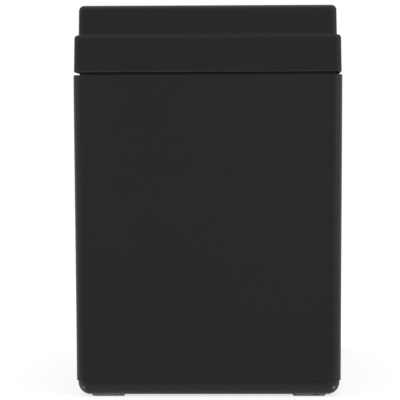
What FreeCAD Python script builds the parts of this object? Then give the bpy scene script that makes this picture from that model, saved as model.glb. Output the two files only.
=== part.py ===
"""A 12 V sealed lead-acid battery of the small block size used in UPS units.

A drafted container with six cell compartments is closed by a two-tier lid, glued on over a tongue.
Each cell holds brown positive plates and grey negative plates, kept apart by folded glass mats.
Straps, links through the partitions and two posts carry the current to a pair of push-on tabs.

Millimetres. X runs across the battery, Y along it with the tabs at +Y, and Z up.
The origin is on the surface that the four feet stand on, under the middle of the battery.
"""

import FreeCAD
import Part
import math
import os

# Container: outside form
CASE_WIDTH = 65.0  # across the rim
CASE_LENGTH = 151.0  # along the rim
RIM_HEIGHT = 77.8  # shoulder that the seam lies on
CASE_DRAFT_DEG = 0.4  # the walls lean in towards the bottom
CASE_CORNER_RADIUS = 2.3
BOTTOM_RADIUS = 3.0  # round the bottom and up the corners of the pan
PARTING_ALLOWANCE = 0.5  # straight stretch between the bottom radius and the parting step
PARTING_STEP = 0.28  # the bottom pan stands in from the walls
FOOT_HEIGHT = 0.4
FOOT_SIZE = 8.0  # across each square foot at the level of the bottom
FOOT_EDGE_SLOPE = 0.3  # the foot narrows by this much on each side
FOOT_SIDE_MARGIN = 3.4  # from the long sides of the pan to the foot
FOOT_END_MARGIN = 1.85  # from the ends of the pan, so that the foot grows out of the bottom radius
FOOT_ROOT = 0.8  # how far the feet run up into the pan

# Container: inside
CASE_WALL = 2.8
CASE_FLOOR = 2.5
PARTITION = 1.4
REST_RIB_HEIGHT = 1.5  # ribs that the plates stand on
REST_RIB_WIDTH = 2.0
REST_RIB_SPACING = 24.0
TONGUE_WIDTH = 1.2  # upstand inside the shoulder that enters the lid
TONGUE_HEIGHT = 4.4

# Lid
SEAM_GAP = 0.68
LID_SETBACK = 0.18  # the lid's skirt stands in from the rim
LOWER_TIER_HEIGHT = 8.95
UPPER_TIER_HEIGHT = 7.15
TIER_SETBACK = 0.98
LID_DRAFT_DEG = 0.9
LID_CORNER_RADIUS = 1.5
LOWER_EDGE_CHAMFER = 0.5
UPPER_EDGE_RADIUS = 1.3
LID_PLATE = 2.5
LID_RIB = 1.3  # ribs each side of the glue grooves
GLUE_GAP = 0.15
GLUE_BEAD = 0.6

# Terminal corners of the lid
POST_OFFSET = 7.85  # from the middle of the end cell towards its side wall
NOTCH_REACH_X = 8.6  # from the post to the notch's inner walls
NOTCH_REACH_Y = 9.5
NOTCH_INNER_RADIUS = 1.6
WELL_SIZE = 11.0
WELL_CORNER_CUT = 1.6
WELL_DEPTH = 1.2
WELL_WALL = 1.2  # collar round the well
COLLAR_HEIGHT = 1.0
RESIN_BELOW_COLLAR = 0.3
BOSS_DEPTH = 4.2  # thickening below the lid's plate that guides the post

# Valves and their cover
COVER_WIDTH = 42.0
COVER_THICKNESS = 1.8
COVER_CORNER_RADIUS = 3.0
COVER_EDGE_CHAMFER = 0.4
COVER_GAP = 0.35
COVER_SINK = 0.2  # the cover lies this far below the lid's top
COVER_LEDGE = 1.6
RECESS_WALL = 2.8  # between the cover's opening and the terminal notches
VENT_SLOT_WIDTH = 6.0
VENT_SLOT_DEPTH = 0.7
VENT_SLOT_SPACING = 36.0
VALVE_SIDE_MARGIN = 7.75  # from the recess's side walls to the rows of valves
VALVE_END_MARGIN = 9.0  # from the recess's end walls to the last valves
NOZZLE_DIAMETER = 5.0
NOZZLE_BORE = 2.6
CAP_FIT = 0.05
CAP_WALL = 1.2
CAP_ROOF = 1.2
CAP_SKIRT_GAP = 0.3  # below the cap's skirt
CAP_HEADROOM = 0.3  # between the cap and the cover

# Cells
POSITIVE_COUNT = 3  # with one more negative plate than this
POSITIVE_THICKNESS = 3.4
NEGATIVE_THICKNESS = 2.4
STACK_CLEARANCE = 0.15  # each side of the pressed stack
PLATE_SIDE_GAP = 1.2
MAT_OVERHANG = 0.7
MAT_ABOVE_PLATES = 1.5
LUG_WIDTH = 8.0
LUG_EDGE = 2.2  # from the plate's side to its lug
LUG_LENGTH = 3.0  # bare length below the strap
STRAP_THICKNESS = 4.0
STRAP_CLEARANCE = 0.3  # below the lid's ribs
LINK_FIT = 0.1

# Posts and terminals
POST_SIZE = 4.6  # each side of the square posts
POST_FIT = 0.2
TAB_WIDTH = 6.35
TAB_THICKNESS = 0.8
TAB_LENGTH = 7.95
TAB_TIP_CHAMFER = 1.1
TAB_HOLE = 1.8
TAB_HOLE_FROM_TIP = 3.2
SHOULDER_WIDTH = 8.0
SHOULDER_RISE = 1.5  # above the resin
TAB_FOOT = 7.2

COLUMNS = (-1, 0, 1)  # cells along Y
ROWS = (-1, 1)  # cells across X; the positive tab is on the +1 side
TINY = 0.01  # tolerance for picking edges
THROUGH = 1.0  # how far a cutter runs past the face that it cuts

# Levels and places worked out from the sizes
case_draft = math.tan(math.radians(CASE_DRAFT_DEG))
lid_draft = math.tan(math.radians(LID_DRAFT_DEG))
pan_top = FOOT_HEIGHT + BOTTOM_RADIUS + PARTING_ALLOWANCE
floor_top = FOOT_HEIGHT + CASE_FLOOR
rest_level = floor_top + REST_RIB_HEIGHT
tongue_top = RIM_HEIGHT + TONGUE_HEIGHT
groove_root = tongue_top + GLUE_BEAD
lid_bottom = RIM_HEIGHT + SEAM_GAP
shelf = lid_bottom + LOWER_TIER_HEIGHT
plate_under = shelf - LID_PLATE
lid_top = shelf + UPPER_TIER_HEIGHT
cover_top = lid_top - COVER_SINK
cover_under = cover_top - COVER_THICKNESS
nozzle_top = cover_under - CAP_HEADROOM - CAP_ROOF
strap_top = lid_bottom - STRAP_CLEARANCE
strap_under = strap_top - STRAP_THICKNESS
plates_top = strap_under - LUG_LENGTH
well_floor = shelf - WELL_DEPTH
collar_top = shelf + COLLAR_HEIGHT
resin_top = collar_top - RESIN_BELOW_COLLAR

half_width = CASE_WIDTH / 2
half_length = CASE_LENGTH / 2
shoulder = CASE_WALL - TONGUE_WIDTH
tongue_x = half_width - shoulder
tongue_y = half_length - shoulder
inside_x = half_width - CASE_WALL  # inner face of the walls at the rim
inside_y = half_length - CASE_WALL
floor_lean = (RIM_HEIGHT - floor_top) * case_draft
floor_x = inside_x - floor_lean  # inner face of the walls at the floor
floor_y = inside_y - floor_lean
half_partition = PARTITION / 2
cell_length = (2 * floor_y - 2 * PARTITION) / len(COLUMNS)
cell_pitch = cell_length + PARTITION
cell_middle_x = (half_partition + floor_x) / 2

plate_half = cell_length / 2 - PLATE_SIDE_GAP
half_lug = LUG_WIDTH / 2
lug_offset = plate_half - LUG_EDGE - half_lug
stack_start = half_partition + STACK_CLEARANCE
stack_depth = floor_x - half_partition - 2 * STACK_CLEARANCE
negative_count = POSITIVE_COUNT + 1
plate_depth = POSITIVE_COUNT * POSITIVE_THICKNESS + negative_count * NEGATIVE_THICKNESS
mat_thickness = (stack_depth - plate_depth) / (2 * POSITIVE_COUNT)
plate_pitch = NEGATIVE_THICKNESS + POSITIVE_THICKNESS + 2 * mat_thickness
first_positive = stack_start + NEGATIVE_THICKNESS + mat_thickness

skirt_x = half_width - LID_SETBACK
skirt_y = half_length - LID_SETBACK
lower_lean = LOWER_TIER_HEIGHT * lid_draft
upper_lean = UPPER_TIER_HEIGHT * lid_draft
upper_x = skirt_x - lower_lean - TIER_SETBACK
upper_y = skirt_y - lower_lean - TIER_SETBACK
post_x = cell_middle_x + POST_OFFSET
post_y = cell_pitch + lug_offset
notch_x = post_x - NOTCH_REACH_X
notch_y = post_y - NOTCH_REACH_Y
opening_x = COVER_WIDTH / 2 + COVER_GAP
opening_y = notch_y - RECESS_WALL
recess_x = opening_x - COVER_LEDGE
recess_y = opening_y - COVER_LEDGE
valve_offset = recess_x - VALVE_SIDE_MARGIN
valve_pitch = recess_y - VALVE_END_MARGIN


def vector(x, y, z):
    return FreeCAD.Vector(x, y, z)


def span(x_low, x_high, y_low, y_high):
    """Corners of the rectangle between two X and two Y values, anticlockwise."""
    return [(x_low, y_low), (x_high, y_low), (x_high, y_high), (x_low, y_high)]


def rectangle(half_x, half_y, x=0.0, y=0.0):
    """Corners of a rectangle about (x, y), anticlockwise."""
    return span(x - half_x, x + half_x, y - half_y, y + half_y)


def cut_square(half, cut, x, y):
    """Corners of a square about (x, y) that has its own corners cut off, anticlockwise."""
    near = half - cut
    right = [(half, -near), (half, near), (near, half), (-near, half)]
    around = right + [(-across, -along) for across, along in right]
    return [(x + across, y + along) for across, along in around]


def flat_face(points):
    return Part.Face(Part.makePolygon(points + points[:1]))


def prism(corners, z_low, z_high, radius=0.0):
    """Straight solid over an outline, with its upright edges rounded where a radius is given."""
    face = flat_face([vector(x, y, z_low) for x, y in corners])
    solid = face.extrude(vector(0, 0, z_high - z_low))
    return solid.makeFillet(radius, upright_edges(solid)) if radius else solid


def frustum(corners_low, corners_high, z_low, z_high):
    """Drafted solid with flat sides between two outlines that have the same corners in the same order."""
    low = [vector(x, y, z_low) for x, y in corners_low]
    high = [vector(x, y, z_high) for x, y in corners_high]
    faces = [flat_face(low[::-1]), flat_face(high)]
    for i in range(len(low)):
        faces.append(flat_face([low[i - 1], low[i], high[i], high[i - 1]]))
    return Part.makeSolid(Part.makeShell(faces))


def block(x_low, x_high, y_low, y_high, z_low, z_high):
    return Part.makeBox(x_high - x_low, y_high - y_low, z_high - z_low, vector(x_low, y_low, z_low))


def cylinder(radius, x, y, z_low, z_high):
    return Part.makeCylinder(radius, z_high - z_low, vector(x, y, z_low))


def upright_edges(solid):
    """Edges that run from the bottom of a prism or frustum to its top."""
    return [e for e in solid.Edges if e.BoundBox.ZLength > TINY]


def edges_from(solid, corners, z):
    """Upright edges of a solid that start from the given corners at height z."""
    starts = [vector(x, y, z) for x, y in corners]
    found = []
    for edge in upright_edges(solid):
        ends = [vertex.Point for vertex in edge.Vertexes]
        if any(end.isEqual(start, TINY) for end in ends for start in starts):
            found.append(edge)
    return found


def edges_at(solid, z):
    """Edges of a solid that lie flat at height z."""
    return [e for e in solid.Edges if abs(e.BoundBox.ZMin - z) < TINY and abs(e.BoundBox.ZMax - z) < TINY]


def united(solids):
    """One solid from pieces that touch or overlap."""
    return solids[0].multiFuse(solids[1:]).removeSplitter()


def each_cell():
    return [(row, column) for row in ROWS for column in COLUMNS]


def cell_number(row, column):
    """Cells are counted along the current, from the positive tab round to the negative one."""
    return 2 - column if row > 0 else 5 + column


def cell_centre(column):
    return column * cell_pitch


def cell_corners(row, column, wall_x, wall_y, margin=0.0):
    """Plan of one cell with the outer walls at the given half sizes, drawn in by a margin."""
    y_low = cell_centre(column) - cell_length / 2
    y_high = cell_centre(column) + cell_length / 2
    if column == COLUMNS[0]:
        y_low = -wall_y
    if column == COLUMNS[-1]:
        y_high = wall_y
    x_low, x_high = sorted((row * (half_partition + margin), row * (wall_x - margin)))
    return span(x_low, x_high, y_low + margin, y_high - margin)


def link_places():
    """Plan of the five links as X range, Y range and whether the link crosses the middle partition.

    Each one runs from strap to strap: four along the rows, and one across at the end away from the tabs.
    """
    places = []
    reach = cell_pitch / 2 - lug_offset - half_lug
    for row in ROWS:
        x = row * cell_middle_x
        for y in (-cell_pitch / 2, cell_pitch / 2):
            places.append((x - half_lug, x + half_lug, y - reach, y + reach, False))
    y = cell_centre(COLUMNS[0]) - lug_offset
    places.append((-first_positive, stack_start, y - half_lug, y + half_lug, True))
    return places


def partition_gap(place, fit, z_low, z_high):
    """The stretch of partition that a link passes through, widened by a fit."""
    x_low, x_high, y_low, y_high, crosses_middle = place
    if crosses_middle:
        return block(-half_partition, half_partition, y_low - fit, y_high + fit, z_low, z_high)
    y = (y_low + y_high) / 2
    return block(x_low - fit, x_high + fit, y - half_partition, y + half_partition, z_low, z_high)


def make_container():
    """Moulded box: bottom pan, drafted walls, shoulder and tongue, six compartments and four feet."""
    wall_lean = (RIM_HEIGHT - pan_top) * case_draft
    pan_x = half_width - wall_lean - PARTING_STEP
    pan_y = half_length - wall_lean - PARTING_STEP
    pan = prism(rectangle(pan_x, pan_y), FOOT_HEIGHT, pan_top)
    pan = pan.makeFillet(BOTTOM_RADIUS, upright_edges(pan) + edges_at(pan, FOOT_HEIGHT))
    walls_low = rectangle(half_width - wall_lean, half_length - wall_lean)
    walls = frustum(walls_low, rectangle(half_width, half_length), pan_top, RIM_HEIGHT)
    walls = walls.makeFillet(CASE_CORNER_RADIUS, upright_edges(walls))
    tongue = prism(rectangle(tongue_x, tongue_y), RIM_HEIGHT, tongue_top)
    body = united([pan, walls, tongue])

    cuts = [partition_gap(place, LINK_FIT, strap_under, tongue_top + THROUGH) for place in link_places()]
    for row, column in each_cell():
        low = cell_corners(row, column, floor_x, floor_y)
        high = cell_corners(row, column, inside_x, inside_y)
        cuts.append(frustum(low, high, floor_top, RIM_HEIGHT))
        cuts.append(prism(high, RIM_HEIGHT, tongue_top + THROUGH))
    body = body.cut(cuts)

    added = []
    half_foot = FOOT_SIZE / 2
    half_sole = half_foot - FOOT_EDGE_SLOPE
    half_root = half_foot + FOOT_EDGE_SLOPE * FOOT_ROOT / FOOT_HEIGHT
    foot_x = pan_x - FOOT_SIDE_MARGIN - half_foot
    foot_y = pan_y - FOOT_END_MARGIN - half_foot
    for x in (-foot_x, foot_x):
        for y in (-foot_y, foot_y):
            sole = rectangle(half_sole, half_sole, x, y)
            root = rectangle(half_root, half_root, x, y)
            added.append(frustum(sole, root, 0.0, FOOT_HEIGHT + FOOT_ROOT))
    half_rib = REST_RIB_WIDTH / 2
    for row, column in each_cell():
        x_low, x_high = sorted((row * half_partition, row * floor_x))
        for side in (-1, 1):
            y = cell_centre(column) + side * REST_RIB_SPACING / 2
            added.append(block(x_low, x_high, y - half_rib, y + half_rib, floor_top, rest_level))
    return united([body] + added)


def upper_tier_corners(lean):
    """Plan of the upper tier, a full-width block with a notch for a terminal in each +Y corner."""
    x, y = upper_x - lean, upper_y - lean
    inner_x, inner_y = notch_x - lean, notch_y - lean
    right = [(x, -y), (x, inner_y), (inner_x, inner_y), (inner_x, y)]
    return right + [(-x, y) for x, y in reversed(right)]


def lid_tiers():
    """Both tiers of the lid, drafted and with rounded edges, still solid inside."""
    lower_top = rectangle(skirt_x - lower_lean, skirt_y - lower_lean)
    lower = frustum(rectangle(skirt_x, skirt_y), lower_top, lid_bottom, shelf)
    lower = lower.makeFillet(LID_CORNER_RADIUS, upright_edges(lower))
    lower = lower.makeChamfer(LOWER_EDGE_CHAMFER, edges_at(lower, shelf))

    foot = upper_tier_corners(0.0)
    inner = [(-notch_x, notch_y), (notch_x, notch_y)]
    outer = [corner for corner in foot if corner not in inner]
    upper = frustum(foot, upper_tier_corners(upper_lean), shelf, lid_top)
    upper = upper.makeFillet(NOTCH_INNER_RADIUS, edges_from(upper, inner, shelf))
    upper = upper.makeFillet(UPPER_EDGE_RADIUS, edges_from(upper, outer, shelf) + edges_at(upper, lid_top))
    return [lower, upper]


def glue_grid(gap, z_low, z_high):
    """Closed grid over the tongue and the partitions, widened by a gap on each side."""
    outer = prism(rectangle(tongue_x + gap, tongue_y + gap), z_low, z_high)
    windows = []
    for row, column in each_cell():
        windows.append(prism(cell_corners(row, column, inside_x, inside_y, gap), z_low, z_high))
    return outer.cut(windows)


def valve_places():
    return [(row * valve_offset, column * valve_pitch) for row, column in each_cell()]


def well_corners(row, wall=0.0):
    """Plan of a terminal's well, or of the collar round it with the same wall along its cut corners."""
    cut = WELL_CORNER_CUT + wall * (2 - math.sqrt(2))
    return cut_square(WELL_SIZE / 2 + wall, cut, row * post_x, post_y)


def post_corners(row, fit=0.0):
    """Plan of a post, or of the hole that it passes through."""
    half = POST_SIZE / 2 + fit
    return rectangle(half, half, row * post_x, post_y)


def make_lid():
    """Moulded lid: two tiers, glue grooves and cell roofs below, valve recess and terminal wells above."""
    hollows = []
    for row, column in each_cell():
        roof = cell_corners(row, column, inside_x, inside_y, GLUE_GAP + LID_RIB)
        hollows.append(prism(roof, lid_bottom - THROUGH, plate_under))
    hollows.append(prism(rectangle(recess_x, recess_y), shelf, cover_under))
    opening_radius = COVER_CORNER_RADIUS + COVER_GAP
    hollows.append(prism(rectangle(opening_x, opening_y), cover_under, lid_top + THROUGH, opening_radius))
    lid = united(lid_tiers()).cut(hollows)

    added = [cylinder(NOZZLE_DIAMETER / 2, x, y, shelf, nozzle_top) for x, y in valve_places()]
    for row in ROWS:
        collar = well_corners(row, WELL_WALL)
        added.append(prism(collar, shelf, collar_top))
        added.append(prism(collar, plate_under - BOSS_DEPTH, plate_under))
    lid = united([lid] + added)

    cuts = [glue_grid(GLUE_GAP, lid_bottom - THROUGH, groove_root)]
    cuts += [cylinder(NOZZLE_BORE / 2, x, y, plate_under - THROUGH, lid_top) for x, y in valve_places()]
    for row in ROWS:
        cuts.append(prism(well_corners(row), well_floor, collar_top + THROUGH))
        cuts.append(prism(post_corners(row, POST_FIT), lid_bottom, well_floor))
    return lid.cut(cuts)


def make_lid_seal():
    """Hardened epoxy: a bead on the tongue and partitions, with plugs that close the gaps over the links."""
    bead = glue_grid(0.0, tongue_top, groove_root)
    plugs = [partition_gap(place, 0.0, strap_top, groove_root) for place in link_places()]
    return united([bead] + plugs)


def make_valve_cover():
    """Plate over the valves with a chamfered rim and small slots that let gas out."""
    outline = rectangle(COVER_WIDTH / 2, opening_y - COVER_GAP)
    plate = prism(outline, cover_under, cover_top, COVER_CORNER_RADIUS)
    plate = plate.makeChamfer(COVER_EDGE_CHAMFER, edges_at(plate, cover_top))
    slots = []
    for x in (-COVER_WIDTH / 2, COVER_WIDTH / 2):
        for y in (-VENT_SLOT_SPACING / 2, VENT_SLOT_SPACING / 2):
            slot = rectangle(VENT_SLOT_DEPTH, VENT_SLOT_WIDTH / 2, x, y)
            slots.append(prism(slot, cover_under - THROUGH, cover_top + THROUGH))
    return plate.cut(slots)


def make_valve_cap(x, y):
    """Soft rubber cup that grips its nozzle and lifts to let gas past."""
    bore = NOZZLE_DIAMETER / 2 + CAP_FIT
    cup = cylinder(bore + CAP_WALL, x, y, shelf + CAP_SKIRT_GAP, nozzle_top + CAP_ROOF)
    return cup.cut(cylinder(bore, x, y, shelf, nozzle_top))


def make_plate_group(row, column, first, count, thickness, bottom, lug_side):
    """Like plates of one cell with their lugs cast into one strap."""
    y = cell_centre(column)
    lug_y = y + lug_side * lug_offset
    solids = []
    for i in range(count):
        start = first + i * plate_pitch
        x_low, x_high = sorted((row * start, row * (start + thickness)))
        solids.append(block(x_low, x_high, y - plate_half, y + plate_half, bottom, plates_top))
        solids.append(block(x_low, x_high, lug_y - half_lug, lug_y + half_lug, plates_top, strap_under))
    last = first + (count - 1) * plate_pitch + thickness
    x_low, x_high = sorted((row * first, row * last))
    solids.append(block(x_low, x_high, lug_y - half_lug, lug_y + half_lug, strap_under, strap_top))
    return united(solids)


def make_mats(row, column):
    """Glass mats of one cell, each one folded under a positive plate and up both of its sides."""
    y = cell_centre(column)
    half_mat = plate_half + MAT_OVERHANG
    top = plates_top + MAT_ABOVE_PLATES
    mats = []
    for i in range(POSITIVE_COUNT):
        plate = first_positive + i * plate_pitch
        end = plate + POSITIVE_THICKNESS
        outside = sorted((row * (plate - mat_thickness), row * (end + mat_thickness)))
        inside = sorted((row * plate, row * end))
        fold = block(*outside, y - half_mat, y + half_mat, rest_level, top)
        mats.append(fold.cut(block(*inside, y - half_mat, y + half_mat, rest_level + mat_thickness, top)))
    return Part.Compound(mats)


def make_link(place):
    """Lead bar that joins the straps of two cells through the partition between them."""
    x_low, x_high, y_low, y_high, _ = place
    return block(x_low, x_high, y_low, y_high, strap_under, strap_top)


def make_post(row):
    """Square lead post from the end strap up to the floor of the terminal's well."""
    return prism(post_corners(row), strap_top, well_floor)


def make_terminal(row):
    """Push-on tab that stands up from a foot plate, which is soldered on the post."""
    foot_top = well_floor + TAB_THICKNESS
    shoulder_top = resin_top + SHOULDER_RISE
    tip = shoulder_top + TAB_LENGTH
    heel = TAB_FOOT / 2
    half_tab, half_shoulder = TAB_WIDTH / 2, SHOULDER_WIDTH / 2
    right = [
        (half_shoulder, well_floor),
        (half_shoulder, shoulder_top),
        (half_tab, shoulder_top),
        (half_tab, tip - TAB_TIP_CHAMFER),
        (half_tab - TAB_TIP_CHAMFER, tip),
    ]
    outline = right + [(-y, z) for y, z in reversed(right)]
    blade = flat_face([vector(heel, y, z) for y, z in outline]).extrude(vector(-TAB_THICKNESS, 0, 0))
    hole_height = tip - TAB_HOLE_FROM_TIP
    hole = Part.makeCylinder(TAB_HOLE / 2, TAB_FOOT, vector(0, 0, hole_height), vector(1, 0, 0))
    foot = block(-heel, heel, -half_shoulder, half_shoulder, well_floor, foot_top)
    tab = united([foot, blade.cut(hole)])
    if row < 0:
        tab = tab.mirror(vector(0, 0, 0), vector(1, 0, 0))
    tab.translate(vector(row * post_x, post_y, 0))
    return tab


def make_terminal_resin(row):
    """Coloured resin that fills the well round the terminal's foot."""
    return prism(well_corners(row), well_floor, resin_top).cut(make_terminal(row))


def all_parts():
    """Every piece by the name of its node."""
    parts = {
        "container": make_container(),
        "lid": make_lid(),
        "lid_seal": make_lid_seal(),
        "valve_cover": make_valve_cover(),
    }
    for number, (x, y) in enumerate(valve_places(), 1):
        parts[f"valve_cap_{number}"] = make_valve_cap(x, y)
    for row, column in each_cell():
        number = cell_number(row, column)
        # the positive lugs stand towards the tabs in the positive row, and away from them in the other
        parts[f"positive_plates_{number}"] = make_plate_group(
            row, column, first_positive, POSITIVE_COUNT, POSITIVE_THICKNESS, rest_level + mat_thickness, row
        )
        parts[f"negative_plates_{number}"] = make_plate_group(
            row, column, stack_start, negative_count, NEGATIVE_THICKNESS, rest_level, -row
        )
        parts[f"separator_mats_{number}"] = make_mats(row, column)
    for number, place in enumerate(link_places(), 1):
        parts[f"cell_link_{number}"] = make_link(place)
    for row, sign in ((1, "positive"), (-1, "negative")):
        parts[f"{sign}_post"] = make_post(row)
        parts[f"{sign}_terminal"] = make_terminal(row)
        parts[f"{sign}_terminal_resin"] = make_terminal_resin(row)
    return parts


os.makedirs("parts", exist_ok=True)
for node, shape in all_parts().items():
    shape.exportStep(f"parts/{node}.step")
    print(f"{node}: {len(shape.Solids)} solid, {shape.Volume / 1000:.2f} cm3, valid {shape.isValid()}")
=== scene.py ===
"""A 12 V sealed battery block for UPS units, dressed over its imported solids.

Metres. X runs across the battery, Y along it with the tabs at +Y, and Z up from the floor.
The sections follow the battery as it is put together, then come the floor, the light and the camera.
"""

import math

import bmesh
import bpy
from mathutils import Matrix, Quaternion, Vector


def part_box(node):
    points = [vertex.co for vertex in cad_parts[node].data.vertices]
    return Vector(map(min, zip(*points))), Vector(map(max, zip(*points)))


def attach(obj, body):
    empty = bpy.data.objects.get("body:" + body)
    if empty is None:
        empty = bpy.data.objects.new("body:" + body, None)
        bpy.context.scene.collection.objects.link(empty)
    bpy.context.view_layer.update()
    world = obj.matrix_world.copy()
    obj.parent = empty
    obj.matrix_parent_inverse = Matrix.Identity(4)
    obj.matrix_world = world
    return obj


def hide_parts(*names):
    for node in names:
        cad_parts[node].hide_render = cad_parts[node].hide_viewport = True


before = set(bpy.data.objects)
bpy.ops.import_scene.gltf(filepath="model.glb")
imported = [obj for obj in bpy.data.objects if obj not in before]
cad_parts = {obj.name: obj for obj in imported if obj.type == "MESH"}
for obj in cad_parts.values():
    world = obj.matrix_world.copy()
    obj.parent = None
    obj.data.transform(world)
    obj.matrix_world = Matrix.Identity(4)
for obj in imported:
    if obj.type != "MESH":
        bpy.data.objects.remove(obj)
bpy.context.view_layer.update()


# Container
# The box of the battery, one injection moulding of black ABS with six cells inside.
# Its walls lean in towards the bottom, where a set-in pan and four feet come from the other mould half.
def take_up(piece):
    """Select one piece alone, and make it the one that the operators work on."""
    bpy.ops.object.select_all(action="DESELECT")
    piece.select_set(True)
    bpy.context.view_layer.objects.active = piece


def start_from_solid(node, name):
    """Begin a piece from a copy of a node's solid, with its loose points merged and its flats joined."""
    same_point = 0.000001
    flat_angle = math.radians(0.3)
    piece = bpy.data.objects.new(name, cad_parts[node].data.copy())
    bpy.context.collection.objects.link(piece)
    take_up(piece)
    piece.data.materials.clear()
    bpy.ops.mesh.customdata_custom_splitnormals_clear()
    bpy.ops.object.mode_set(mode="EDIT")
    bpy.ops.mesh.select_mode(type="EDGE")
    bpy.ops.mesh.select_all(action="SELECT")
    bpy.ops.mesh.remove_doubles(threshold=same_point)
    bpy.ops.mesh.dissolve_limited(angle_limit=flat_angle)
    return piece


def pick_edges(piece, wanted, hollow=False):
    """Select the sharp outside edges, or the hollow ones, whose middles are wanted."""
    sharp_angle = math.radians(25)
    bpy.ops.mesh.select_all(action="DESELECT")
    mesh = bmesh.from_edit_mesh(piece.data)
    for edge in mesh.edges:
        middle = (edge.verts[0].co + edge.verts[1].co) / 2
        sharp = len(edge.link_faces) == 2 and edge.calc_face_angle() > sharp_angle
        if sharp and edge.is_convex != hollow and wanted(middle):
            edge.select_set(True)
    bmesh.update_edit_mesh(piece.data)


# an edge that is this near to a height counts as lying at it
level_margin = 0.00005


def at_level(level):
    """A test for the middles of edges that lie at one height."""
    return lambda middle: abs(middle.z - level) < level_margin


def sort_mesh():
    """Select all and sort it by its distance from one spot, because some operators leave no fixed order."""
    spot = (0.0123, 0.0345, 0.0567)
    bpy.context.scene.cursor.location = spot
    bpy.ops.mesh.select_all(action="SELECT")
    bpy.ops.mesh.sort_elements(type="CURSOR_DISTANCE", elements={"VERT", "EDGE", "FACE"})


def round_edges(radius, steps):
    """Round the selected edges, at an even width where the joins between flats meet them."""
    bpy.ops.mesh.bevel(offset=radius, segments=steps, affect="EDGES", clamp_overlap=True, loop_slide=False)
    sort_mesh()


def close_piece(piece, material):
    """Merge points that the rounding left too close, shade edges smooth and flats flat, and seat it."""
    too_close = 0.000006
    smooth_angle = math.radians(40)
    sort_mesh()
    bpy.ops.mesh.remove_doubles(threshold=too_close)
    bpy.ops.object.mode_set(mode="OBJECT")
    bpy.ops.object.shade_smooth_by_angle(angle=smooth_angle, keep_sharp_edges=False)
    flats = piece.modifiers.new("flats", "WEIGHTED_NORMAL")
    flats.keep_sharp = True
    bpy.ops.object.modifier_apply(modifier=flats.name)
    piece.data.materials.append(material)
    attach(piece, "root")


case_low, case_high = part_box("container")
rim = 0.0778
pan_top = 0.0039
foot_height = 0.0004

container = start_from_solid("container", "container_moulding")
pick_edges(container, at_level(rim))
round_edges(radius=0.0002, steps=3)
pick_edges(container, at_level(pan_top))
round_edges(radius=0.00012, steps=2)
pick_edges(container, lambda middle: middle.z < foot_height - level_margin)
round_edges(radius=0.00012, steps=2)


# The finishes are made of nodes, which these put into a material or into a group that finishes share
def feed(tree, source, socket):
    """Link a source to a socket, or set the socket where the source is a plain value."""
    if isinstance(source, bpy.types.NodeSocket):
        tree.links.new(source, socket)
    else:
        socket.default_value = source


def on_piece(tree):
    """Places on the piece, in metres in its own space."""
    return tree.nodes.new("ShaderNodeTexCoord").outputs["Object"]


def parts_of(tree, place):
    """The X, Y and Z of a place."""
    node = tree.nodes.new("ShaderNodeSeparateXYZ")
    feed(tree, place, node.inputs["Vector"])
    return node.outputs["X"], node.outputs["Y"], node.outputs["Z"]


def stretched(tree, place, turn, scale):
    """Places scaled and then turned, so that a pattern over them runs one way."""
    node = tree.nodes.new("ShaderNodeMapping")
    feed(tree, place, node.inputs["Vector"])
    feed(tree, turn, node.inputs["Rotation"])
    feed(tree, scale, node.inputs["Scale"])
    return node.outputs["Vector"]


def noise_over(tree, place, scale, detail=2.0, roughness=0.5):
    """Noise from 0 to 1, whose grains are about 1 / scale metres across."""
    node = tree.nodes.new("ShaderNodeTexNoise")
    feed(tree, place, node.inputs["Vector"])
    feed(tree, scale, node.inputs["Scale"])
    feed(tree, detail, node.inputs["Detail"])
    feed(tree, roughness, node.inputs["Roughness"])
    return node.outputs["Fac"]


def ranged(tree, value, low, high, to_low=0.0, to_high=1.0, smooth=False):
    """A value between low and high, carried over to the range from to_low to to_high and kept in it."""
    node = tree.nodes.new("ShaderNodeMapRange")
    node.interpolation_type = "SMOOTHSTEP" if smooth else "LINEAR"
    feed(tree, value, node.inputs["Value"])
    feed(tree, low, node.inputs["From Min"])
    feed(tree, high, node.inputs["From Max"])
    feed(tree, to_low, node.inputs["To Min"])
    feed(tree, to_high, node.inputs["To Max"])
    return node.outputs["Result"]


def reckon(tree, operation, *numbers):
    """One step of arithmetic on numbers."""
    node = tree.nodes.new("ShaderNodeMath")
    node.operation = operation
    for number, socket in zip(numbers, node.inputs):
        feed(tree, number, socket)
    return node.outputs["Value"]


def reckon_places(tree, operation, *places):
    """One step of arithmetic on places, which gives a place, or a number for a distance or a dot product."""
    node = tree.nodes.new("ShaderNodeVectorMath")
    node.operation = operation
    for place, socket in zip(places, node.inputs):
        feed(tree, place, socket)
    return node.outputs["Value" if operation in ("DISTANCE", "DOT_PRODUCT") else "Vector"]


def mixed(tree, amount, first, second, kind="RGBA"):
    """A colour between two, or a number where the kind is FLOAT: the first at 0 and the second at 1."""
    node = tree.nodes.new("ShaderNodeMix")
    node.data_type = kind
    feed(tree, amount, node.inputs["Factor"])
    feed(tree, first, node.inputs["A"])
    feed(tree, second, node.inputs["B"])
    return node.outputs["Result"]


def raised(tree, height, strength, depth):
    """The normal of a surface that has this relief."""
    node = tree.nodes.new("ShaderNodeBump")
    feed(tree, height, node.inputs["Height"])
    feed(tree, strength, node.inputs["Strength"])
    feed(tree, depth, node.inputs["Distance"])
    return node.outputs["Normal"]


def grey(level):
    """A neutral colour."""
    return (level, level, level, 1.0)


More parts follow.
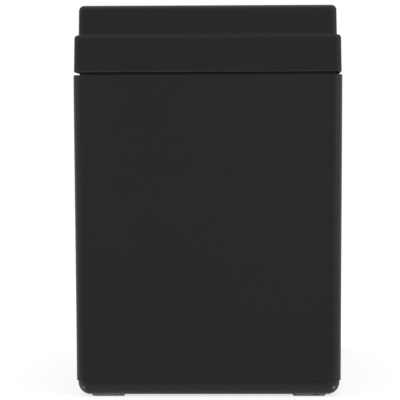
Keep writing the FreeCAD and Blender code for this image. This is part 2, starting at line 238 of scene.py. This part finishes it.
def new_skin(name, takes, gives):
    """A node group for a skin that several finishes share, with its inner sockets."""
    group = bpy.data.node_groups.new(name, "ShaderNodeTree")
    for way, sockets in (("INPUT", takes), ("OUTPUT", gives)):
        for socket in sockets:
            kind = "NodeSocketFloat" if socket in ("Gloss", "Roughness", "Height") else "NodeSocketColor"
            group.interface.new_socket(socket, in_out=way, socket_type=kind)
    return group, group.nodes.new("NodeGroupInput").outputs, group.nodes.new("NodeGroupOutput").inputs


def lay_skin(tree, group, values):
    """Put a shared skin into a finish with values of its own, and give what it puts out."""
    node = tree.nodes.new("ShaderNodeGroup")
    node.node_tree = group
    for socket, value in values.items():
        feed(tree, value, node.inputs[socket])
    return node.outputs


def new_finish(name):
    """A material, its nodes, and the sockets of its own Principled shader."""
    material = bpy.data.materials.new(name)
    material.use_nodes = True
    tree = material.node_tree
    return material, tree, tree.nodes["Principled BSDF"].inputs


# The skin of a mould that was spark eroded and worn in: fine grain, slow waves, and a few rub marks
skin, takes, gives = new_skin("moulded_skin", ("Dark", "Light", "Gloss"), ("Color", "Roughness", "Height"))
place = on_piece(skin)
waves = noise_over(skin, place, scale=38.0, detail=3.0)
rub_place = stretched(skin, place, turn=(0.5, 0.3, 0.2), scale=(1.0, 0.04, 0.5))
rubs = ranged(skin, noise_over(skin, rub_place, scale=900.0), 0.66, 0.78)
gloss_waves = ranged(skin, waves, 0.0, 1.0, to_low=-0.05, to_high=0.05)
gloss_rubs = reckon(skin, "MULTIPLY_ADD", rubs, -0.07, takes["Gloss"])
feed(skin, mixed(skin, waves, takes["Dark"], takes["Light"]), gives["Color"])
feed(skin, reckon(skin, "ADD", gloss_rubs, gloss_waves), gives["Roughness"])
feed(skin, noise_over(skin, place, scale=5200.0, detail=2.0, roughness=0.6), gives["Height"])
grain_strength = 0.5
grain_depth = 0.00005

case_black, tree, plastic = new_finish("case_black")
feed(tree, 0.35, plastic["Specular IOR Level"])
case_skin = lay_skin(tree, skin, {"Dark": grey(0.0075), "Light": grey(0.0089), "Gloss": 0.42})

# where the battery slides on a tray, the feet are pale, most of all at their edges, partly from real
# scuffing and partly as a painted reflection of the white floor; each bottom corner has a ragged pale spot
# that is a painted glint, and the bottom radius has a little painted reflection
foot_middle = (0.0243, 0.0689, 0.0)
foot_half = 0.0044
# the pale spot at each bottom corner is a painted glint, with its edge made ragged by the speckle
corner_glint_spot = (0.0302, 0.0737, 0.0023)
glint_raggedness = 0.0008
worn_and_painted_light_grey = 0.31
place = on_piece(tree)
height = parts_of(tree, place)[2]
speckle = noise_over(tree, place, scale=1400.0, detail=3.0)
one_corner = reckon_places(tree, "ABSOLUTE", place)
from_foot = reckon_places(tree, "ABSOLUTE", reckon_places(tree, "SUBTRACT", one_corner, foot_middle))
foot_x, foot_y, _ = parts_of(tree, from_foot)
foot_reach = reckon(tree, "MAXIMUM", foot_x, foot_y)
on_foot = reckon(tree, "LESS_THAN", foot_reach, foot_half)
foot_sole = reckon(tree, "MULTIPLY", on_foot, ranged(tree, height, 0.0008, 0.0007))
# the pale of the feet is partly scuffing and partly a painted reflection of the white floor
foot_wear_and_reflection = reckon(tree, "MULTIPLY", foot_sole, ranged(tree, foot_reach, 0.0, 0.0039, to_low=0.2))
# a painted reflection of the floor, which lightens the bottom radius a little towards the bottom
radius_painted_reflection = ranged(tree, height, 0.0024, 0.0010, to_high=0.032, smooth=True)
to_glint_spot = reckon_places(tree, "DISTANCE", one_corner, corner_glint_spot)
ragged_glint_distance = reckon(tree, "MULTIPLY_ADD", speckle, glint_raggedness, to_glint_spot)
low_wear_and_painted_light = reckon(tree, "MAXIMUM", foot_wear_and_reflection, radius_painted_reflection)
wear_and_painted_light = reckon(tree, "MAXIMUM", low_wear_and_painted_light, ranged(tree, ragged_glint_distance, 0.0010, 0.0007))
scuffs_and_painted_light = reckon(tree, "MULTIPLY", wear_and_painted_light, ranged(tree, speckle, 0.36, 0.55, to_low=0.25))
feed(tree, mixed(tree, scuffs_and_painted_light, case_skin["Color"], grey(worn_and_painted_light_grey)), plastic["Base Color"])
feed(tree, case_skin["Roughness"], plastic["Roughness"])
feed(tree, raised(tree, case_skin["Height"], grain_strength, grain_depth), plastic["Normal"])
close_piece(container, case_black)
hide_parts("container")


# Positive plates
# Cast lead grids pasted with brown lead dioxide and dried, three to a cell.
# Their lugs are cast into one lead strap, so that the three stand and act as one.
lead_skin, _, gives = new_skin("cast_lead", (), ("Color", "Roughness", "Height"))
place = on_piece(lead_skin)
oxide = noise_over(lead_skin, place, scale=260.0, detail=4.0)
bright_lead = (0.34, 0.35, 0.37, 1.0)
dull_lead = (0.20, 0.21, 0.23, 1.0)
feed(lead_skin, mixed(lead_skin, oxide, bright_lead, dull_lead), gives["Color"])
feed(lead_skin, ranged(lead_skin, oxide, 0.0, 1.0, to_low=0.38, to_high=0.68), gives["Roughness"])
feed(lead_skin, noise_over(lead_skin, place, scale=1100.0), gives["Height"])

paste_skin, takes, gives = new_skin("dried_paste", ("Dark", "Light"), ("Color", "Height"))
crumbs = noise_over(paste_skin, on_piece(paste_skin), scale=700.0, detail=5.0, roughness=0.65)
feed(paste_skin, mixed(paste_skin, crumbs, takes["Dark"], takes["Light"]), gives["Color"])
feed(paste_skin, crumbs, gives["Height"])


def plate_finish(name, dark, light):
    """Dried paste up to the top of the plates, and bare lead on the lugs and the strap above."""
    lug_and_strap = 0.007
    paste_roughness = 0.92
    paste_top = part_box("positive_plates_1")[1].z - lug_and_strap
    finish, tree, shader = new_finish(name)
    paste = lay_skin(tree, paste_skin, {"Dark": dark, "Light": light})
    metal = lay_skin(tree, lead_skin, {})
    bare = reckon(tree, "GREATER_THAN", parts_of(tree, on_piece(tree))[2], paste_top)
    relief = mixed(tree, bare, paste["Height"], metal["Height"], "FLOAT")
    feed(tree, mixed(tree, bare, paste["Color"], metal["Color"]), shader["Base Color"])
    feed(tree, mixed(tree, bare, paste_roughness, metal["Roughness"], "FLOAT"), shader["Roughness"])
    feed(tree, bare, shader["Metallic"])
    feed(tree, raised(tree, relief, strength=0.5, depth=0.0001), shader["Normal"])
    return finish


def dress_nodes(start, finish):
    """Give the finish to every node whose name starts so."""
    for name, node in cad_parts.items():
        if name.startswith(start):
            node.material_slots[0].material = finish


brown_paste = plate_finish("positive_plate", (0.030, 0.014, 0.008, 1.0), (0.075, 0.036, 0.020, 1.0))
dress_nodes("positive_plates", brown_paste)


# Negative plates
# The same lead grids, pasted with grey spongy lead, four to a cell.
# They stand between and outside the positive plates and hang from a strap of their own.
grey_paste = plate_finish("negative_plate", (0.11, 0.115, 0.12, 1.0), (0.20, 0.205, 0.21, 1.0))
dress_nodes("negative_plates", grey_paste)


# Separator mats
# White mat of fine glass fibre, cut from a roll and folded under each positive plate.
# It is squeezed between the plates and holds all the acid, so that none runs free.
fibre_scale = 4000.0
mat_shade = (0.62, 0.62, 0.60, 1.0)
mat_white = (0.86, 0.86, 0.84, 1.0)
glass_mat, tree, glass = new_finish("separator_mat")
feed(tree, 0.85, glass["Roughness"])
place = on_piece(tree)
lie_along = stretched(tree, place, turn=(0.6, 0.0, 0.0), scale=(1.0, 0.05, 1.0))
lie_across = stretched(tree, place, turn=(-0.7, 0.0, 0.0), scale=(1.0, 1.0, 0.05))
fibres_along = noise_over(tree, lie_along, fibre_scale)
fibres_across = noise_over(tree, lie_across, fibre_scale)
fibres = reckon(tree, "MAXIMUM", fibres_along, fibres_across)
feed(tree, mixed(tree, fibres, mat_shade, mat_white), glass["Base Color"])
feed(tree, raised(tree, fibres, strength=0.6, depth=0.00005), glass["Normal"])
dress_nodes("separator_mats", glass_mat)


# Cell links and posts
# Lead bars that put the cells in series, welded to the straps over the partitions.
# Two square lead posts stand on the end straps and carry the tabs.
lead_grey, tree, lead = new_finish("lead")
feed(tree, 1.0, lead["Metallic"])
cast = lay_skin(tree, lead_skin, {})
feed(tree, cast["Color"], lead["Base Color"])
feed(tree, cast["Roughness"], lead["Roughness"])
feed(tree, raised(tree, cast["Height"], strength=0.4, depth=0.00008), lead["Normal"])
for start in ("cell_link", "positive_post", "negative_post"):
    dress_nodes(start, lead_grey)


# Lid seal
# Epoxy that is poured into the grooves of the upturned lid.
# The container is pushed down into it, and it sets hard and dark round the tongue and the partitions.
epoxy_dark, tree, epoxy = new_finish("lid_adhesive")
set_hard = {"Dark": (0.020, 0.021, 0.023, 1.0), "Light": (0.032, 0.033, 0.035, 1.0), "Gloss": 0.22}
epoxy_skin = lay_skin(tree, skin, set_hard)
feed(tree, epoxy_skin["Color"], epoxy["Base Color"])
feed(tree, epoxy_skin["Roughness"], epoxy["Roughness"])
dress_nodes("lid_seal", epoxy_dark)


# Lid
# A second ABS moulding in two tiers, glued on over the container's tongue with an open seam above the rim.
# The upper tier leaves a step for a tab in two corners and carries the recess for the valves.
lid_low, lid_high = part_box("lid")
upper_tier = 0.00715
tier_chamfer = 0.0005
collar_height = 0.001
skirt_depth = 0.0012
shelf = lid_high.z - upper_tier
collar_top = shelf + collar_height
skirt_x = case_high.x - skirt_depth
skirt_y = case_high.y - skirt_depth
at_lip = at_level(lid_low.z)
tier_low = shelf - tier_chamfer - level_margin
tier_high = shelf + level_margin

lid = start_from_solid("lid", "lid_moulding")
pick_edges(lid, at_level(shelf), hollow=True)
round_edges(radius=0.0001, steps=2)
pick_edges(lid, lambda middle: at_lip(middle) and (abs(middle.x) > skirt_x or abs(middle.y) > skirt_y))
round_edges(radius=0.00006, steps=2)
pick_edges(lid, lambda middle: tier_low < middle.z < tier_high)
round_edges(radius=0.00035, steps=4)
pick_edges(lid, at_level(lid_high.z))
round_edges(radius=0.00025, steps=3)
pick_edges(lid, at_level(collar_top))
round_edges(radius=0.0002, steps=2)

lid_black, tree, plastic = new_finish("lid_black")
feed(tree, 0.2, plastic["Specular IOR Level"])
lid_skin = lay_skin(tree, skin, {"Dark": grey(0.0146), "Light": grey(0.0164), "Gloss": 0.46})

# a pale line lies in the corner of the step between the tiers, partly settled dust and partly a painted
# highlight over the crease's shade, and a painted highlight runs along the lower lip; both are broken into
# patches
dust_and_highlight_level = shelf + 0.0001
lip_highlight_low = lid_low.z + 0.00012
lip_highlight_high = lid_low.z + 0.00025
dust_and_highlight_grey = (0.30, 0.29, 0.28, 1.0)
place = on_piece(tree)
height = parts_of(tree, place)[2]
from_dust_and_highlight_level = reckon(tree, "ABSOLUTE", reckon(tree, "SUBTRACT", height, dust_and_highlight_level))
dust_and_highlight_line = ranged(tree, from_dust_and_highlight_level, 0.0004, 0.0001, to_high=0.08, smooth=True)
# a painted highlight along the lid's lower lip, strongest nearest the lip
lip_highlight_line = ranged(tree, height, lip_highlight_high, lip_highlight_low, to_high=0.14)
patches = ranged(tree, noise_over(tree, place, scale=2400.0, detail=5.0), 0.32, 0.70, to_low=0.15)
dust_and_highlights = reckon(tree, "MULTIPLY", reckon(tree, "MAXIMUM", dust_and_highlight_line, lip_highlight_line), patches)
feed(tree, mixed(tree, dust_and_highlights, lid_skin["Color"], dust_and_highlight_grey), plastic["Base Color"])
feed(tree, lid_skin["Roughness"], plastic["Roughness"])
feed(tree, raised(tree, lid_skin["Height"], grain_strength, grain_depth), plastic["Normal"])
close_piece(lid, lid_black)
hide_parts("lid")


# Terminals
# Push-on tabs stamped and bent from tinned brass strip, with a hole for the latch of the receptacle.
# Their edges are coined, the tip is tapered as a lead-in, and the foot is soldered to the post.
bright_tin = (0.74, 0.73, 0.70, 1.0)
tarnished_tin = (0.56, 0.55, 0.52, 1.0)
tin_plate, tree, tin = new_finish("terminal_tin")
feed(tree, 1.0, tin["Metallic"])
place = on_piece(tree)
rolled = stretched(tree, place, turn=(0.0, 0.0, 0.0), scale=(1.0, 1.0, 0.04))
rolling_marks = noise_over(tree, rolled, scale=5000.0)
tarnish = noise_over(tree, place, scale=420.0, detail=4.0)
feed(tree, mixed(tree, tarnish, bright_tin, tarnished_tin), tin["Base Color"])
feed(tree, ranged(tree, tarnish, 0.0, 1.0, to_low=0.18, to_high=0.46), tin["Roughness"])
feed(tree, raised(tree, rolling_marks, strength=0.25, depth=0.00002), tin["Normal"])

for sign in ("positive", "negative"):
    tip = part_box(f"{sign}_terminal")[1].z
    tab = start_from_solid(f"{sign}_terminal", f"{sign}_tab")
    pick_edges(tab, at_level(tip))
    round_edges(radius=0.00025, steps=2)
    pick_edges(tab, lambda middle: middle.z > collar_top)
    round_edges(radius=0.0001, steps=2)
    close_piece(tab, tin_plate)
    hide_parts(f"{sign}_terminal")


# Terminal resin
# Epoxy poured into the wells round the feet of the tabs, red for the positive one and black for the other.
# It sets in a shallow dish that climbs the walls of the well and the tab.
def pour_resin(sign, finish):
    """Fill one terminal's well up to the line where the resin clings to its walls and to the blade."""
    widths_and_drops = ((0.00008, 0.00012), (0.00014, 0.0001), (0.00022, 0.00006), (0.0003, 0.00002))
    fill_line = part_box(f"{sign}_terminal_resin")[1].z
    pool = start_from_solid(f"{sign}_terminal_resin", f"{sign}_resin_pool")
    bpy.ops.mesh.select_mode(type="FACE")
    bpy.ops.mesh.select_all(action="DESELECT")
    mesh = bmesh.from_edit_mesh(pool.data)
    for face in mesh.faces:
        face.select_set(face.calc_center_median().z > fill_line - level_margin)
    bmesh.update_edit_mesh(pool.data)
    bpy.ops.mesh.quads_convert_to_tris(quad_method="BEAUTY", ngon_method="BEAUTY")
    for width, drop in widths_and_drops:
        bpy.ops.mesh.inset(thickness=width, depth=0.0)
        bpy.ops.transform.translate(value=(0.0, 0.0, -drop))
    close_piece(pool, finish)
    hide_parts(f"{sign}_terminal_resin")


def resin_finish(name, dark, light):
    """Hard glossy epoxy with a slow change of tone and a surface that is not quite even."""
    finish, tree, shader = new_finish(name)
    feed(tree, 0.3, shader["Specular IOR Level"])
    clouds = noise_over(tree, on_piece(tree), scale=320.0, detail=3.0)
    feed(tree, mixed(tree, clouds, dark, light), shader["Base Color"])
    feed(tree, ranged(tree, clouds, 0.0, 1.0, to_low=0.12, to_high=0.30), shader["Roughness"])
    feed(tree, raised(tree, clouds, strength=0.2, depth=0.0001), shader["Normal"])
    return finish


red_resin = resin_finish("positive_resin", (0.30, 0.008, 0.008, 1.0), (0.44, 0.016, 0.014, 1.0))
black_resin = resin_finish("negative_resin", (0.006, 0.006, 0.007, 1.0), (0.012, 0.012, 0.013, 1.0))
pour_resin("positive", red_resin)
pour_resin("negative", black_resin)


# Polarity signs
# A plus and a minus, moulded in one with the lid and of the same plastic.
# They stand a little above its top, each beside its own tab.
def raise_sign(name, x, upright):
    """A bar along X, with a second one across it for the plus."""
    bar, reach, rise, sunk = 0.0011, 0.0021, 0.0003, 0.0002
    facing = 0.9
    tab_low, tab_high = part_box("positive_terminal")
    bpy.ops.object.select_all(action="DESELECT")
    bpy.ops.mesh.primitive_cube_add(
        size=1.0,
        location=(x, (tab_low.y + tab_high.y) / 2, lid_high.z + (rise - sunk) / 2),
        scale=(bar, bar, rise + sunk),
    )
    bpy.ops.object.transform_apply(location=True, rotation=True, scale=True)
    moulded = bpy.context.active_object
    moulded.name = name
    bpy.ops.object.mode_set(mode="EDIT")
    bpy.ops.mesh.select_mode(type="FACE")
    mesh = bmesh.from_edit_mesh(moulded.data)
    for face in mesh.faces:
        face.select_set(abs(face.normal.x) > facing or (upright and abs(face.normal.y) > facing))
    bmesh.update_edit_mesh(moulded.data)
    bpy.ops.mesh.extrude_faces_move(TRANSFORM_OT_shrink_fatten={"value": reach})
    bpy.ops.mesh.select_mode(type="EDGE")
    pick_edges(moulded, lambda middle: middle.z > lid_high.z)
    round_edges(radius=0.0001, steps=2)
    close_piece(moulded, lid_black)


from_middle = 0.0092
raise_sign("plus_sign", from_middle, True)
raise_sign("minus_sign", -from_middle, False)


# Valve caps
# Soft rubber cups, moulded, and pressed on to the six nozzles of the lid.
# They are dusted with talc, so that they lift and close again cleanly.
bare_rubber = (0.012, 0.012, 0.012, 1.0)
talced_rubber = (0.060, 0.060, 0.058, 1.0)
rubber_black, tree, rubber = new_finish("valve_rubber")
feed(tree, 0.3, rubber["Specular IOR Level"])
talc = noise_over(tree, on_piece(tree), scale=900.0, detail=4.0)
feed(tree, mixed(tree, talc, bare_rubber, talced_rubber), rubber["Base Color"])
feed(tree, ranged(tree, talc, 0.0, 1.0, to_low=0.6, to_high=0.95), rubber["Roughness"])
dress_nodes("valve_cap", rubber_black)


# Valve cover
# A flat ABS plate that keeps the six valves down, level with the top of the lid.
# It is welded to the ledge of the recess at a few points, and the narrow gap round it lets gas out.
cover_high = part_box("valve_cover")[1]
cover_chamfer = 0.0004
cover = start_from_solid("valve_cover", "valve_cover_plate")
pick_edges(cover, lambda middle: middle.z > cover_high.z - cover_chamfer - level_margin)
round_edges(radius=0.00012, steps=2)
bpy.ops.object.mode_set(mode="OBJECT")

# the dishes that the round tip of the welding pin leaves above the ledge
dish_radius = 0.0009
dish_depth = 0.0003
edge_to_dish = 0.0013
along_side = (-0.047, -0.033, 0.0, 0.033, 0.047)
side_x = cover_high.x - edge_to_dish
end_y = cover_high.y - edge_to_dish
dishes = [(x, y) for x in (-side_x, side_x) for y in along_side] + [(0.0, -end_y), (0.0, end_y)]
tip_radius = (dish_radius**2 + dish_depth**2) / (2 * dish_depth)
tip_z = cover_high.z + tip_radius - dish_depth
tip_sides = 24
tips = bpy.data.objects.new("welding_tips", bpy.data.meshes.new("welding_tips"))
bpy.context.collection.objects.link(tips)
take_up(tips)
bpy.ops.object.mode_set(mode="EDIT")
for x, y in dishes:
    bpy.ops.mesh.primitive_uv_sphere_add(
        segments=tip_sides,
        ring_count=tip_sides,
        radius=tip_radius,
        location=(x, y, tip_z),
    )
bpy.ops.object.mode_set(mode="OBJECT")
take_up(cover)
pressed = cover.modifiers.new("pressed", "BOOLEAN")
pressed.operation = "DIFFERENCE"
pressed.object = tips
bpy.ops.object.modifier_apply(modifier=pressed.name)
bpy.data.objects.remove(tips)
bpy.ops.object.mode_set(mode="EDIT")
close_piece(cover, lid_black)
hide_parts("valve_cover")


# Floor
# A pale sheet of card that runs on past the picture on all sides.
# The camera sees it as white with the battery's soft shadow, and its front part stays dull in the plastic.
floor_size = 3.0
floor_front = case_low.y - 0.008
camera_paper = 0.35
other_paper = 0.50
camera_lift = 0.72
mirror_lift = 0.55
bpy.ops.object.select_all(action="DESELECT")
bpy.ops.mesh.primitive_plane_add(size=floor_size, location=(0.0, 0.0, 0.0))
floor = bpy.context.active_object
floor.name = "studio_floor"
floor_white = bpy.data.materials.new("floor_white")
floor_white.use_nodes = True
tree = floor_white.node_tree
tree.nodes.remove(tree.nodes["Principled BSDF"])
path = tree.nodes.new("ShaderNodeLightPath").outputs
matt = tree.nodes.new("ShaderNodeBsdfDiffuse")
shine = tree.nodes.new("ShaderNodeEmission")
both = tree.nodes.new("ShaderNodeAddShader")
mirrored = reckon(tree, "MAXIMUM", path["Is Glossy Ray"], path["Is Transmission Ray"])
behind_front = reckon(tree, "GREATER_THAN", parts_of(tree, on_piece(tree))[1], floor_front)
in_mirrors = reckon(tree, "MULTIPLY", reckon(tree, "MULTIPLY", behind_front, mirrored), mirror_lift)
lift = reckon(tree, "MULTIPLY_ADD", path["Is Camera Ray"], camera_lift, in_mirrors)
feed(tree, mixed(tree, path["Is Camera Ray"], grey(other_paper), grey(camera_paper)), matt.inputs["Color"])
feed(tree, lift, shine.inputs["Strength"])
feed(tree, matt.outputs["BSDF"], both.inputs[0])
feed(tree, shine.outputs["Emission"], both.inputs[1])
feed(tree, both.outputs["Shader"], tree.nodes["Material Output"].inputs["Surface"])
floor.data.materials.append(floor_white)


# Light
# An even white surround, which is dimmer behind the camera and which the camera itself sees as plain white.
# Two soft boxes stand at the sides of the camera, and one hangs above.
to_back = (0.34, 0.94, 0.0)
world = bpy.data.worlds.new("studio_white")
bpy.context.scene.world = world
world.use_nodes = True
tree = world.node_tree
surround = tree.nodes["Background"].inputs
direction = tree.nodes.new("ShaderNodeTexCoord").outputs["Generated"]
seen = tree.nodes.new("ShaderNodeLightPath").outputs["Is Camera Ray"]
turned_back = reckon_places(tree, "DOT_PRODUCT", direction, to_back)
dim_front = ranged(tree, turned_back, -0.92, -0.45, to_low=0.5, smooth=True)
feed(tree, grey(1.0), surround["Color"])
feed(tree, reckon(tree, "MAXIMUM", dim_front, seen), surround["Strength"])


def add_soft_box(name, place, size, power):
    """A square soft lamp that faces the middle of the battery."""
    middle = Vector((0.0, 0.0, 0.05))
    lamp = bpy.data.lights.new(name, "AREA")
    lamp.size = size
    lamp.energy = power
    box = bpy.data.objects.new(name, lamp)
    box.location = place
    box.rotation_mode = "QUATERNION"
    box.rotation_quaternion = (middle - Vector(place)).to_track_quat("-Z", "Y")
    bpy.context.collection.objects.link(box)


add_soft_box("right_soft_box", place=(0.75, -0.55, 0.40), size=0.5, power=1.6)
add_soft_box("left_soft_box", place=(-0.75, -0.55, 0.40), size=0.5, power=1.1)
add_soft_box("top_soft_box", place=(0.0, 0.10, 0.90), size=0.6, power=1.6)


# Camera
# A long lens that looks straight at the end of the battery.
# It stands a little above the middle of the end face and just to the right of it.
lens_place = Vector((0.017, -0.6755, 0.062))
aim = Vector((-0.00188, -0.0755, 0.04761))
lens = bpy.data.cameras.new("photo_camera")
lens.sensor_width = 36.0
lens.lens = 224.35
camera = bpy.data.objects.new("photo_camera", lens)
camera.location = lens_place
camera.rotation_mode = "QUATERNION"
roll = Quaternion((0.0, 0.0, 1.0), math.radians(-0.18))
camera.rotation_quaternion = (aim - lens_place).to_track_quat("-Z", "Y") @ roll
bpy.context.collection.objects.link(camera)
bpy.context.scene.camera = camera
bpy.context.scene.view_settings.view_transform = "Standard"
